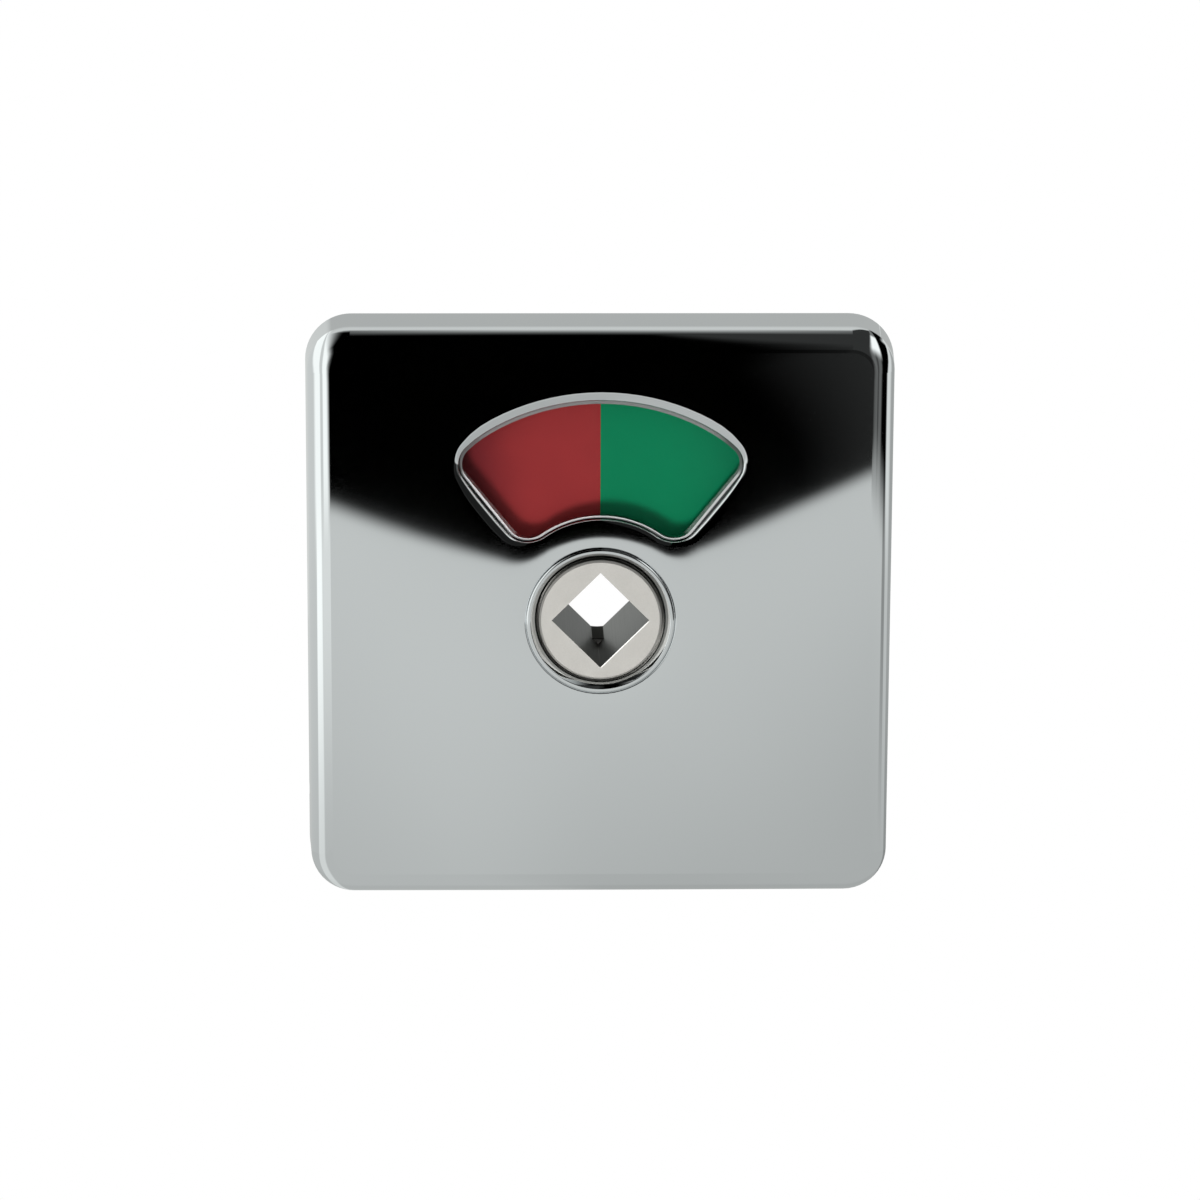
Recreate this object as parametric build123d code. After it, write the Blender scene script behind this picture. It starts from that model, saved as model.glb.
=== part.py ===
from build123d import *
import os
from math import asin, cos, degrees, radians, sin, sqrt

# Door occupancy indicator, the outside plate of a privacy lock. All sizes are in millimetres.
#
# The lock inside turns a square spindle, the spindle turns the hub, and the hub swings a
# two-colour dial behind a clear window in the cover. The square hole runs right through the
# hub, so a square key can turn the lock from outside in an emergency.
#
# The model is made lying on its back, as on a bench: x to the right, y up the door and z out of
# the door. z = 0 is the face of the door and the origin is on the axis of the spindle. The last
# step stands the pieces up, so that the finished part faces -Y with +Z up.
#
# The rest position is the middle of the turn, half red and half green.

# Cover: a chromed casting with a rolled front edge
COVER_SIZE = 70.0           # width and height at the rim
COVER_DEPTH = 8.5           # from the door to the flat front
COVER_RISE = 0.5            # centre of the cover above the axis of the spindle
COVER_WALL = 1.2
COVER_CORNER = 5.5          # corner radius at the rim
COVER_EDGE = 2.7            # radius of the rolled front edge
COVER_DRAFT = 3.4           # degrees
NOTCH_DROP = 23.5           # pry notches in the rim, below the centre of the cover
NOTCH_RADIUS = 0.8

# Sector window, measured from the centre of the cover
WINDOW_OUTER = 25.6         # radius of the top arc
WINDOW_INNER = 12.0         # radius of the bottom arc
WINDOW_HALF_ANGLE = 39.0    # degrees, each side from upright
WINDOW_SIDE = 1.7           # the slanted sides stand this far outside the radial lines
WINDOW_TOP_CORNER = 2.2
WINDOW_FOOT_CORNER = 2.6
WINDOW_EDGE = 1.8           # radius of the front, rolled inwards all round the window
WINDOW_LAND = 0.1           # straight part of the window's wall, behind the rolled edge

# Bezel: turned ring pressed into the cover, round the face of the hub
BEZEL_WALL = 0.6            # sleeve in the cover
BEZEL_LIP = 0.8             # the raised rim reaches this far past the sleeve
BEZEL_HEIGHT = 0.45         # the rim stands this far out of the front
BEZEL_ROUND = 0.42

# Clear window lens, held to two pins of the cover by push-on washers
LENS_FLANGE_THICK = 0.8
LENS_SETBACK = 0.5          # front of the plug behind the front of the cover
LENS_EDGE = 0.35            # bevel round the front of the plug
LENS_FIT = 0.12
EAR_WIDTH = 5.4
EAR_GAP = 0.4               # between the bosses and the washers of the ears, seen from above
PIN_SHOULDER_DIA = 4.0
PIN_DIA = 1.8
PIN_TAIL = 0.9              # the pins stand this far out of their washers
PIN_FIT = 0.1
LENS_WASHER_DIA = 5.0
LENS_WASHER_THICK = 0.4

# Back plate
PLATE_THICK = 1.5
PLATE_FIT = 0.25            # between the plate and the rim of the cover
BOSS_DIA = 5.6              # screw bosses inside the cover
BOSS_INSET = 8.5            # from the edge of the cover to each boss
SCREW_DIA = 2.4
SCREW_HEAD_DIA = 4.8
SCREW_LENGTH = 6.0
SCREW_FIT = 0.05            # in the tapped boss
SCREW_CLEARANCE = 0.2       # in the plate

# Fixing pillars, tapped for the M4 bolts that come through the door
PILLAR_SPACING = 38.0
PILLAR_FLATS = 7.0
PILLAR_LENGTH = 8.4
PILLAR_SPIGOT_DIA = 5.0
PILLAR_TAPPING_DIA = 3.3
PILLAR_TAP_PAST_DOOR = 0.6  # the tapped hole ends this far inside the plate

# Hub with the square spindle hole
SPINDLE_HOLE = 8.2          # across the flats, for an 8 mm spindle
HUB_LENGTH = 16.7
HUB_SETBACK = 0.2           # hub face behind the flat front
HUB_FACE_DIA = 14.6
HUB_FACE_GAP = 0.3          # round the hub in the cover
HUB_FACE_BEVEL = 0.25
JOURNAL_DIA = 15.0
SEAT_STEP = 1.5             # the dial's seat stands this far outside the journal
FLANGE_STEP = 1.5           # the flange stands this far outside the seat
FLAT_DEPTH = 0.8            # the two driving flats on the seat
PILOT_DIA = 10.2            # the broach's pilot bore, which cuts the corners of the rear stage
PILOT_LENGTH = 5.8

# Bearing: nylon bush in the plate, nylon washer behind the cover
BUSH_WALL = 1.5
BUSH_FLANGE_STEP = 2.0
BUSH_FLANGE_THICK = 1.0
BUSH_TAIL = 0.8             # behind the plate
FACE_WASHER_THICK = 0.4
FACE_WASHER_STEP = 2.3

# Spring stack behind the plate
THRUST_WASHER_THICK = 0.5
THRUST_WASHER_STEP = 2.6
SPRING_THICK = 0.4
SPRING_CONE = 0.4           # how far the spring washer is coned
SPRING_STEP = 2.4
CLIP_THICK = 1.0
CLIP_GROOVE_DEPTH = 0.7
CLIP_STEP = 1.6             # the clip stands this far outside the journal
CLIP_LUG_DIA = 3.2
CLIP_HOLE_DIA = 1.5
CLIP_GAP_ANGLE = 34.0       # degrees between the lugs

# Dial and its colours
TRAVEL = 45.0               # degrees each way from the middle
DIAL_RADIUS = 28.5
DIAL_RING_STEP = 0.9        # ring round the flange
DIAL_THICK = 1.0
DIAL_GAP = 0.4              # between the colours and the lens
DIAL_LIP = 0.5              # lip that frames the colours
DIAL_EDGE_CORNER = 0.8
DIAL_RIB_WIDTH = 0.8
DIAL_RIB_HEIGHT = 0.7
DIAL_RIB_COUNT = 5
LABEL_THICK = 0.2
LABEL_FIT = 0.05
RETAINER_THICK = 0.5
RETAINER_WIDTH = 1.8

# End stops
STOP_DIA = 3.0
STOP_SPIGOT_DIA = 2.0
STOP_RADIUS = 22.0
STOP_GAP = 0.15
STOP_BEVEL = 0.3

# Fits
RUN_FIT = 0.05              # radial, the journal in its bush
PUSH_FIT = 0.03             # radial, pieces that are pressed or pushed together
END_PLAY = 0.06             # along the axis, between faces that turn on each other

# Levels along z, worked out from the sizes above
inner_face = COVER_DEPTH - COVER_WALL
window_back = COVER_DEPTH - WINDOW_EDGE - WINDOW_LAND
lens_back = window_back - LENS_FLANGE_THICK
lens_front = COVER_DEPTH - LENS_SETBACK
lens_washer_back = lens_back - LENS_WASHER_THICK
label_front = lens_back - DIAL_GAP
dial_front = label_front - LABEL_THICK
dial_back = dial_front - DIAL_THICK
hub_front = COVER_DEPTH - HUB_SETBACK
hub_back = hub_front - HUB_LENGTH
flange_front = inner_face - FACE_WASHER_THICK - 2 * END_PLAY
bush_front = PLATE_THICK + BUSH_FLANGE_THICK
shoulder = bush_front + END_PLAY
thrust_front = -BUSH_TAIL - END_PLAY
spring_front = thrust_front - THRUST_WASHER_THICK
spring_height = SPRING_THICK + SPRING_CONE
clip_front = spring_front - spring_height - END_PLAY

# Radii and places, worked out in the same way
bezel_bore = HUB_FACE_DIA / 2 + HUB_FACE_GAP
bezel_sleeve = bezel_bore + BEZEL_WALL
hub_opening = bezel_sleeve + PUSH_FIT
journal_radius = JOURNAL_DIA / 2
seat_radius = journal_radius + SEAT_STEP
flange_radius = seat_radius + FLANGE_STEP
groove_radius = journal_radius - CLIP_GROOVE_DEPTH
bush_bore = journal_radius + RUN_FIT
bush_radius = bush_bore + BUSH_WALL
dial_ring_radius = flange_radius + DIAL_RING_STEP
label_inner = dial_ring_radius + LABEL_FIT
label_outer = DIAL_RADIUS - DIAL_LIP - LABEL_FIT
boss_reach = COVER_SIZE / 2 - BOSS_INSET
boss_places = [(side * boss_reach, COVER_RISE + level * boss_reach)
               for side in (-1, 1) for level in (-1, 1)]
ear_radius = DIAL_RADIUS + LENS_WASHER_DIA / 2 + 1.0
ear_x = boss_reach - (BOSS_DIA + LENS_WASHER_DIA) / 2 - EAR_GAP
ear_places = [(side * ear_x, sqrt(ear_radius ** 2 - ear_x ** 2)) for side in (-1, 1)]
stop_lag = degrees(asin((STOP_DIA / 2 + STOP_GAP) / STOP_RADIUS))
stop_angle = radians(TRAVEL + stop_lag)


def disc(radius, low, high, place=(0, 0)):
    """Round plate or pin between two levels."""
    return extrude(Pos(*place, low) * Circle(radius), amount=high - low)


def ring(outer, inner, low, high, place=(0, 0)):
    """Washer or tube between two levels."""
    return extrude(Pos(*place, low) * (Circle(outer) - Circle(inner)), amount=high - low)


def window_outline(grow):
    """Outline of the sector window, grown on every side, as a flat face."""
    half = radians(WINDOW_HALF_ANGLE)
    outer, inner = WINDOW_OUTER + grow, WINDOW_INNER - grow
    apex = -(WINDOW_SIDE + grow) / sin(half)
    reach = 2 * outer
    side_x, side_y = reach * sin(half), apex + reach * cos(half)
    wedge = make_face(Polyline((0, apex), (side_x, side_y), (-side_x, side_y), close=True))
    sector = (Circle(outer) - Circle(inner)) & wedge
    sector = fillet(sector.vertices().sort_by(Axis.Y)[-2:], WINDOW_TOP_CORNER + grow)
    sector = fillet(sector.vertices().sort_by(Axis.Y)[:2], WINDOW_FOOT_CORNER + grow)
    return Pos(0, COVER_RISE) * sector


def drafted_block(inset, height):
    """Drafted square block with a rolled front edge: the outside of the cover, or its inside."""
    size = COVER_SIZE - 2 * inset
    rim = Pos(0, COVER_RISE) * RectangleRounded(size, size, COVER_CORNER - inset)
    block = extrude(rim, amount=height, taper=COVER_DRAFT)
    return fillet(block.faces().sort_by(Axis.Z)[-1].edges(), COVER_EDGE - inset)


def roll_window_edge(cover):
    """Round the front of the cover inwards, all round the window."""
    front = cover.faces().sort_by(Axis.Z)[-1]
    window = front.inner_wires().sort_by(Axis.Y)[-1]
    return fillet(window.edges(), WINDOW_EDGE)


def make_cover():
    """Chromed cover: drafted shell, rolled window edge, screw bosses, lens pins, pry notches."""
    cover = drafted_block(0, COVER_DEPTH) - drafted_block(COVER_WALL, inner_face)
    collar = Pos(0, 0, window_back) * (window_outline(COVER_WALL) - window_outline(0))
    cover += extrude(collar, amount=COVER_DEPTH - COVER_WALL / 2 - window_back)
    cover -= extrude(window_outline(0), amount=2 * COVER_DEPTH)
    cover -= disc(hub_opening, 0, 2 * COVER_DEPTH)
    cover = roll_window_edge(cover)
    for place in boss_places:
        cover += disc(BOSS_DIA / 2, PLATE_THICK, inner_face, place)
        tapped = SCREW_LENGTH + (COVER_DEPTH - COVER_WALL - SCREW_LENGTH) / 2
        cover -= disc(SCREW_DIA / 2 + SCREW_FIT, PLATE_THICK, tapped, place)
    for place in ear_places:
        cover += disc(PIN_SHOULDER_DIA / 2, window_back, inner_face, place)
        cover += disc(PIN_DIA / 2, lens_washer_back - PIN_TAIL, inner_face, place)
    notch_y = COVER_RISE - NOTCH_DROP
    notch = extrude(Plane.YZ * Pos(notch_y, 0) * Circle(NOTCH_RADIUS), COVER_SIZE, both=True)
    keep = Pos(0, COVER_RISE) * Box(COVER_SIZE - 3 * COVER_WALL, COVER_SIZE, 2 * COVER_DEPTH)
    return cover - (notch - keep)


def make_bezel():
    """Turned ring round the face of the hub: a rounded rim on a sleeve pressed into the cover."""
    sleeve = ring(bezel_sleeve, bezel_bore, inner_face, COVER_DEPTH)
    rim = ring(bezel_sleeve + BEZEL_LIP, bezel_bore, COVER_DEPTH, COVER_DEPTH + BEZEL_HEIGHT)
    rim = fillet(rim.faces().sort_by(Axis.Z)[-1].edges(), BEZEL_ROUND)
    return sleeve + rim


def make_lens():
    """Clear lens: a plug that fills the window, on a flange with two ears behind the cover."""
    plug = extrude(Pos(0, 0, lens_back) * window_outline(-LENS_FIT), amount=lens_front - lens_back)
    plug = chamfer(plug.faces().sort_by(Axis.Z)[-1].edges(), LENS_EDGE)
    flange = window_outline(COVER_WALL)
    for place in ear_places:
        inboard = Vector(*place) * (1 - 1.6 * EAR_WIDTH / ear_radius)
        arm = make_hull([*(Pos(*place) * Circle(EAR_WIDTH / 2)).edges(),
                         *(Pos(inboard.X, inboard.Y) * Circle(EAR_WIDTH / 2)).edges()])
        flange += arm
    for place in ear_places:
        flange -= Pos(*place) * Circle(PIN_DIA / 2 + PIN_FIT)
    return plug + extrude(Pos(0, 0, lens_back) * flange, amount=LENS_FLANGE_THICK)


def make_lens_washers():
    """Push-on spring washers that hold the lens on the pins of the cover."""
    outer, inner = LENS_WASHER_DIA / 2, PIN_DIA / 2 + PUSH_FIT
    return [ring(outer, inner, lens_washer_back, lens_back, place) for place in ear_places]


def screw_body(head_grow, shank_radius, length):
    """Countersunk screw, head down on the door side, or the hole for one."""
    head = SCREW_HEAD_DIA / 2 + head_grow
    cone = Cone(head, shank_radius, head - shank_radius, align=(Align.CENTER, Align.CENTER, Align.MIN))
    return cone + disc(shank_radius, 0, length)


def make_plate_screws():
    """Four countersunk screws that hold the back plate in the cover."""
    body = screw_body(0, SCREW_DIA / 2, SCREW_LENGTH)
    body = chamfer(body.faces().sort_by(Axis.Z)[-1].edges(), SCREW_DIA / 5)
    return [Pos(*place, 0) * body for place in boss_places]


def stop_place(side):
    """Centre of an end stop, so that the dial's straight edge meets it at the end of its travel."""
    return side * STOP_RADIUS * cos(stop_angle), -STOP_RADIUS * sin(stop_angle)


def make_back_plate():
    """Steel plate that closes the cover and carries the bush, the pillars and the stops."""
    inset = COVER_WALL + PLATE_FIT
    size = COVER_SIZE - 2 * inset
    outline = Pos(0, COVER_RISE) * RectangleRounded(size, size, COVER_CORNER - inset)
    outline -= Circle(bush_radius + PUSH_FIT)
    for side in (-1, 1):
        outline -= Pos(side * PILLAR_SPACING / 2, 0) * Circle(PILLAR_SPIGOT_DIA / 2 + PUSH_FIT)
        outline -= Pos(*stop_place(side)) * Circle(STOP_SPIGOT_DIA / 2 + PUSH_FIT)
    plate = extrude(outline, amount=PLATE_THICK)
    for place in boss_places:
        plate -= Pos(*place, 0) * screw_body(SCREW_CLEARANCE / 2, SCREW_DIA / 2 + SCREW_CLEARANCE,
                                             2 * PLATE_THICK)
    return plate


def make_pillar(side):
    """Hexagonal pillar riveted into the plate and tapped from the door side."""
    body = extrude(RegularPolygon(PILLAR_FLATS / sqrt(3), 6), amount=-PILLAR_LENGTH)
    body = chamfer(body.faces().sort_by(Axis.Z)[0].edges(), PILLAR_FLATS / 20)
    body += disc(PILLAR_SPIGOT_DIA / 2, 0, PLATE_THICK)
    body -= disc(PILLAR_TAPPING_DIA / 2, -PILLAR_LENGTH, PILLAR_TAP_PAST_DOOR)
    return Pos(side * PILLAR_SPACING / 2, 0) * body


def make_bush():
    """Flanged nylon bush, pressed into the plate from the front."""
    bush = ring(bush_radius, bush_bore, -BUSH_TAIL, PLATE_THICK)
    return bush + ring(bush_radius + BUSH_FLANGE_STEP, bush_bore, PLATE_THICK, bush_front)


def make_stop(side):
    """End stop pin with a riveted spigot."""
    pin = disc(STOP_DIA / 2, PLATE_THICK, dial_front)
    pin = chamfer(pin.faces().sort_by(Axis.Z)[-1].edges(), STOP_BEVEL)
    return Pos(*stop_place(side)) * (pin + disc(STOP_SPIGOT_DIA / 2, 0, PLATE_THICK))


def make_face_washer():
    """Nylon washer between the hub's flange and the cover."""
    low = flange_front + END_PLAY
    inner = bezel_bore
    return ring(inner + FACE_WASHER_STEP, inner, low, low + FACE_WASHER_THICK)


def seat_outline(radius_grow, flat_grow):
    """Round seat with two driving flats."""
    width = 2 * (seat_radius - FLAT_DEPTH + flat_grow)
    round_part = Circle(seat_radius + radius_grow)
    return round_part & Rectangle(width, 4 * seat_radius)


def make_hub():
    """Hub: satin face, flange, dial seat, journal and clip groove, with the square hole through."""
    face = disc(HUB_FACE_DIA / 2, flange_front, hub_front)
    face = chamfer(face.faces().sort_by(Axis.Z)[-1].edges(), HUB_FACE_BEVEL)
    hub = face + disc(flange_radius, dial_front, flange_front)
    hub += extrude(Pos(0, 0, shoulder) * seat_outline(0, 0), amount=dial_front - shoulder)
    tail = disc(journal_radius, hub_back, shoulder)
    tail = chamfer(tail.faces().sort_by(Axis.Z)[0].edges(), SEAT_STEP / 3)
    hub += tail
    hub -= ring(JOURNAL_DIA, groove_radius, clip_front - CLIP_THICK - END_PLAY, clip_front)
    square = Rectangle(SPINDLE_HOLE, SPINDLE_HOLE, rotation=45)
    rear = square & Circle(PILOT_DIA / 2)
    step = hub_back + PILOT_LENGTH
    hub -= extrude(Pos(0, 0, step) * square, amount=HUB_LENGTH)
    hub -= extrude(Pos(0, 0, hub_back - HUB_LENGTH) * rear, amount=2 * HUB_LENGTH)
    return hub


def half_disc(outer, inner):
    """Upper half of a washer, as a flat face."""
    upper = Pos(0, outer) * Rectangle(2 * outer, 2 * outer)
    return (Circle(outer) - Circle(inner)) & upper


def make_dial():
    """Moulded half-round dial: lips that frame the colours, ribs behind, two flats in its bore."""
    fan = half_disc(DIAL_RADIUS, seat_radius)
    fan = fillet(fan.vertices().sort_by(Axis.X)[0], DIAL_EDGE_CORNER)
    fan = fillet(fan.vertices().sort_by(Axis.X)[-1], DIAL_EDGE_CORNER)
    body = fan + Circle(dial_ring_radius)
    dial = extrude(Pos(0, 0, dial_back) * body, amount=DIAL_THICK)
    rim = body - Circle(DIAL_RADIUS - DIAL_LIP)
    dial += extrude(Pos(0, 0, dial_back - DIAL_RIB_HEIGHT) * rim, amount=label_front - dial_back
                    + DIAL_RIB_HEIGHT)
    dial += ring(dial_ring_radius, flange_radius + LABEL_FIT, dial_back, label_front)
    rib_length = DIAL_RADIUS - DIAL_LIP / 2 - dial_ring_radius
    for step in range(DIAL_RIB_COUNT):
        angle = 180 * (step + 0.5) / DIAL_RIB_COUNT
        rib = Pos(dial_ring_radius + rib_length / 2, 0) * Rectangle(rib_length, DIAL_RIB_WIDTH)
        rib = Pos(0, 0, dial_back - DIAL_RIB_HEIGHT) * Rot(0, 0, angle) * rib
        dial += extrude(rib, amount=DIAL_RIB_HEIGHT)
    bore = Pos(0, 0, dial_back) * seat_outline(PUSH_FIT, PUSH_FIT)
    return dial - extrude(bore, amount=2 * DIAL_THICK)


def make_colour(side):
    """One quarter of the colour ring, a thin foil laid in the dial."""
    quarter = half_disc(label_outer, label_inner)
    quarter &= Pos(side * DIAL_RADIUS / 2, DIAL_RADIUS / 2) * Rectangle(DIAL_RADIUS, DIAL_RADIUS)
    edge = quarter.vertices().sort_by_distance((side * DIAL_RADIUS, 0))[0]
    quarter = fillet(edge, DIAL_EDGE_CORNER)
    return extrude(Pos(0, 0, dial_front) * quarter, amount=LABEL_THICK)


def make_dial_retainer():
    """Push-on ring that holds the dial against the flange."""
    inner = seat_radius + PUSH_FIT
    return ring(inner + RETAINER_WIDTH, inner, dial_back - RETAINER_THICK, dial_back)


def make_thrust_washer():
    """Flat steel washer behind the bush."""
    inner = journal_radius + RUN_FIT
    return ring(inner + THRUST_WASHER_STEP, inner, thrust_front - THRUST_WASHER_THICK, thrust_front)


def make_spring():
    """Coned spring washer whose friction keeps the dial where it is put."""
    inner = journal_radius + RUN_FIT
    outer = inner + SPRING_STEP
    high, low = spring_front, spring_front - spring_height
    section = make_face(Polyline((inner, low), (inner, low + SPRING_THICK), (outer, high),
                                 (outer, high - SPRING_THICK), close=True))
    return revolve(Plane.XZ * section, Axis.Z)


def make_clip():
    """Retaining clip in the groove of the journal, with two lugs for pliers."""
    inner, outer = groove_radius + RUN_FIT, journal_radius + CLIP_STEP
    lug_radius = (inner + outer) / 2
    band = Circle(outer) - Circle(inner)
    half = radians(CLIP_GAP_ANGLE / 2)
    reach = 2 * outer
    band -= make_face(Polyline((0, 0), (reach * sin(half), -reach * cos(half)),
                               (-reach * sin(half), -reach * cos(half)), close=True))
    lugs = [(side * lug_radius * sin(half), -lug_radius * cos(half)) for side in (-1, 1)]
    for place in lugs:
        band += Pos(*place) * Circle(CLIP_LUG_DIA / 2) - Circle(inner)
    for place in lugs:
        band -= Pos(*place) * Circle(CLIP_HOLE_DIA / 2)
    return extrude(Pos(0, 0, clip_front - CLIP_THICK) * band, amount=CLIP_THICK)


def stand_up(shape):
    """Turn a piece from the bench onto the door: z out of the door becomes -Y."""
    return Rot(90, 0, 0) * shape


def save(name, *solids):
    """Write one node, with its pieces standing on the door."""
    standing = [stand_up(solid) for solid in solids]
    shape = standing[0] if len(standing) == 1 else Compound(children=standing)
    export_step(shape, f"parts/{name}.step")


os.makedirs("parts", exist_ok=True)

save("cover", make_cover())
save("bezel", make_bezel())
save("lens", make_lens())
save("lens_washers", *make_lens_washers())
save("back_plate", make_back_plate())
save("back_plate_screws", *make_plate_screws())
save("hub_bush", make_bush())
save("face_washer", make_face_washer())
for side, side_name in ((-1, "left"), (1, "right")):
    save(f"fixing_pillar_{side_name}", make_pillar(side))
    save(f"stop_pin_{side_name}", make_stop(side))

save("release_hub", make_hub())
save("dial", make_dial())
save("dial_retainer", make_dial_retainer())
save("red_sector", make_colour(-1))
save("green_sector", make_colour(1))
save("thrust_washer", make_thrust_washer())
save("friction_spring", make_spring())
save("retaining_clip", make_clip())
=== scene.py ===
# %% [markdown]
# A door occupancy indicator: the square plate outside a bathroom door. A lock behind the door turns
# a square spindle, the spindle turns a hub, and the hub swings a red and green dial behind a clear
# window. Nearly all of the look is polished chrome, so most of this lesson is about what chrome
# mirrors, and about how flat its mirror is.

# %% Load the frame
from math import cos, pi, radians, sin, tau

import bmesh
import bpy
import numpy as np
from mathutils import Matrix, Vector
from mathutils.geometry import delaunay_2d_cdt


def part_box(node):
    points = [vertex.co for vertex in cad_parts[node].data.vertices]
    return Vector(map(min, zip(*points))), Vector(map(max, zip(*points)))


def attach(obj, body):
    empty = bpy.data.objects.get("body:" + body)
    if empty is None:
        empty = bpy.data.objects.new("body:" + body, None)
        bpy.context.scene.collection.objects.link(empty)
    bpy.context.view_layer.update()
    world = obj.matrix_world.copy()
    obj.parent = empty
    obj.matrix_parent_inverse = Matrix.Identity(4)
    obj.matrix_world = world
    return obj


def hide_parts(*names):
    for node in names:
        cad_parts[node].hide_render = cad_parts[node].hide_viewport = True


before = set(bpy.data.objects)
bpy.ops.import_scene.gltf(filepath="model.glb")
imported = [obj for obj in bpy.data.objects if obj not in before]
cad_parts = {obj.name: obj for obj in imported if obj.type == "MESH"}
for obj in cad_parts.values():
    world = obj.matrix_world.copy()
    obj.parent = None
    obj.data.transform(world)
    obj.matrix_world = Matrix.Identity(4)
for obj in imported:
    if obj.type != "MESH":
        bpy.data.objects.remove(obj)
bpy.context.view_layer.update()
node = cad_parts

# %% [markdown]
# The script works in metres, as the frame does. Sizes are read from the frame's boxes wherever it
# has them, so the looks follow the part. The front of the cover faces -Y.

# %% Sizes taken from the frame
MM = 0.001

cover_low, cover_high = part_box("cover")
bezel_low, bezel_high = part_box("bezel")
cover_half = (cover_high.x - cover_low.x) / 2
cover_middle = (cover_high.z + cover_low.z) / 2
front = cover_low.y
bezel_radius = (bezel_high.x - bezel_low.x) / 2
print("front at", round(front / MM, 2), "mm, cover half", round(cover_half / MM, 2), "mm")

# %% [markdown]
# Materials are node trees, and a tree is easier to read as a formula. `Wire` wraps one socket, so
# that wires can be added and multiplied in Python, and each operator adds a Math node. `Tree.add` makes
# any other node: first its settings, then the values or wires of its sockets.

# %% Formulas for shader nodes
class Wire:
    """One output socket, with the operators that the materials use."""

    def __init__(self, tree, socket):
        self.tree = tree
        self.socket = socket

    def maths(self, operation, *others):
        values = dict(enumerate((self, *others)))
        return self.tree.add("ShaderNodeMath", {"operation": operation}, values)

    def __add__(self, other):
        return self.maths("ADD", other)

    def __radd__(self, other):
        return self.maths("ADD", other)

    def __sub__(self, other):
        return self.maths("SUBTRACT", other)

    def __rsub__(self, other):
        return self.tree.add("ShaderNodeMath", {"operation": "SUBTRACT"}, {0: other, 1: self})

    def __mul__(self, other):
        return self.maths("MULTIPLY", other)

    def __rmul__(self, other):
        return self.maths("MULTIPLY", other)

    def __truediv__(self, other):
        return self.maths("DIVIDE", other)

    def __pow__(self, other):
        return self.maths("POWER", other)

    def rise(self, low, high):
        """0 below low, 1 above high, and smooth between them."""
        values = {"Value": self, "From Min": low, "From Max": high}
        return self.tree.add("ShaderNodeMapRange", {"interpolation_type": "SMOOTHSTEP"}, values)

    def between(self, low, high, edge):
        """1 from low to high, with soft edges."""
        return self.rise(low - edge, low + edge) * (1 - self.rise(high - edge, high + edge))


class Tree:
    """The nodes of a material, of the world, or of a Geometry Nodes group."""

    def __init__(self, group):
        self.nodes = group.nodes
        self.links = group.links
        self.nodes.clear()

    def add(self, kind, settings=None, values=None, output=0):
        made = self.nodes.new(kind)
        for name, value in (settings or {}).items():
            setattr(made, name, value)
        for name, value in (values or {}).items():
            if isinstance(value, Wire):
                self.links.new(value.socket, made.inputs[name])
            else:
                made.inputs[name].default_value = value
        return Wire(self, made.outputs[output]) if len(made.outputs) else made

    def axes(self, vector):
        """The x, y and z of a vector, as three wires."""
        parts = self.add("ShaderNodeSeparateXYZ", {}, {"Vector": vector}).socket.node
        return [Wire(self, socket) for socket in parts.outputs]

    def mix(self, factor, first, second):
        """A colour between two colours."""
        made = self.add("ShaderNodeMix", {"data_type": "RGBA"}).socket.node
        for socket, value in ((made.inputs[0], factor), (made.inputs[6], first), (made.inputs[7], second)):
            if isinstance(value, Wire):
                self.links.new(value.socket, socket)
            else:
                socket.default_value = value
        return Wire(self, made.outputs[2])

    def noise(self, vector, scale, detail=2.0):
        """Smooth random values, about this many waves to the metre."""
        return self.add("ShaderNodeTexNoise", {}, {"Vector": vector, "Scale": scale, "Detail": detail})

    def stretch(self, vector, scale):
        """The same vector, squeezed or stretched along its axes."""
        return self.add("ShaderNodeMapping", {}, {"Vector": vector, "Scale": scale})


def grey(level):
    return (level, level, level, 1.0)


OBJECT_PLACE = 3
OBJECT_NORMAL = 1


# %% [markdown]
# Every finish is a Principled shader. `finish` makes the material, hands its tree and its object
# coordinates to a recipe, and plugs in what the recipe returns.

# %% A finish from a recipe
def finish(name, recipe, **constants):
    """A material whose varying sockets come from recipe(tree, place)."""
    material = bpy.data.materials.new(name)
    material.use_nodes = True
    tree = Tree(material.node_tree)
    place = tree.add("ShaderNodeTexCoord", output=OBJECT_PLACE)
    values = dict(constants)
    values.update(recipe(tree, place))
    shader = tree.add("ShaderNodeBsdfPrincipled", {}, values)
    tree.add("ShaderNodeOutputMaterial", {}, {"Surface": shader})
    return material


def bump(tree, height, strength, distance):
    """The normal of a surface on which height stands out by up to this distance."""
    return tree.add("ShaderNodeBump", {}, {"Height": height, "Strength": strength, "Distance": distance})


# %% [markdown]
# Polished chrome is nearly a perfect mirror. Plating over a cast and buffed blank leaves only a trace of
# haze, and the wiping cloth leaves broad clouds that are barely there.

# %% Chrome
def chrome_recipe(tree, place):
    haze = tree.noise(place, 90.0, 3.0)
    wipe = tree.noise(place, 14.0, 2.0)
    return {"Base Color": tree.mix(wipe.rise(0.35, 0.7), (0.80, 0.82, 0.83, 1), (0.84, 0.86, 0.87, 1)),
            "Roughness": 0.012 + haze * 0.012}


chrome = finish("chrome", chrome_recipe, Metallic=1.0)
print("made", chrome.name)
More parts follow.
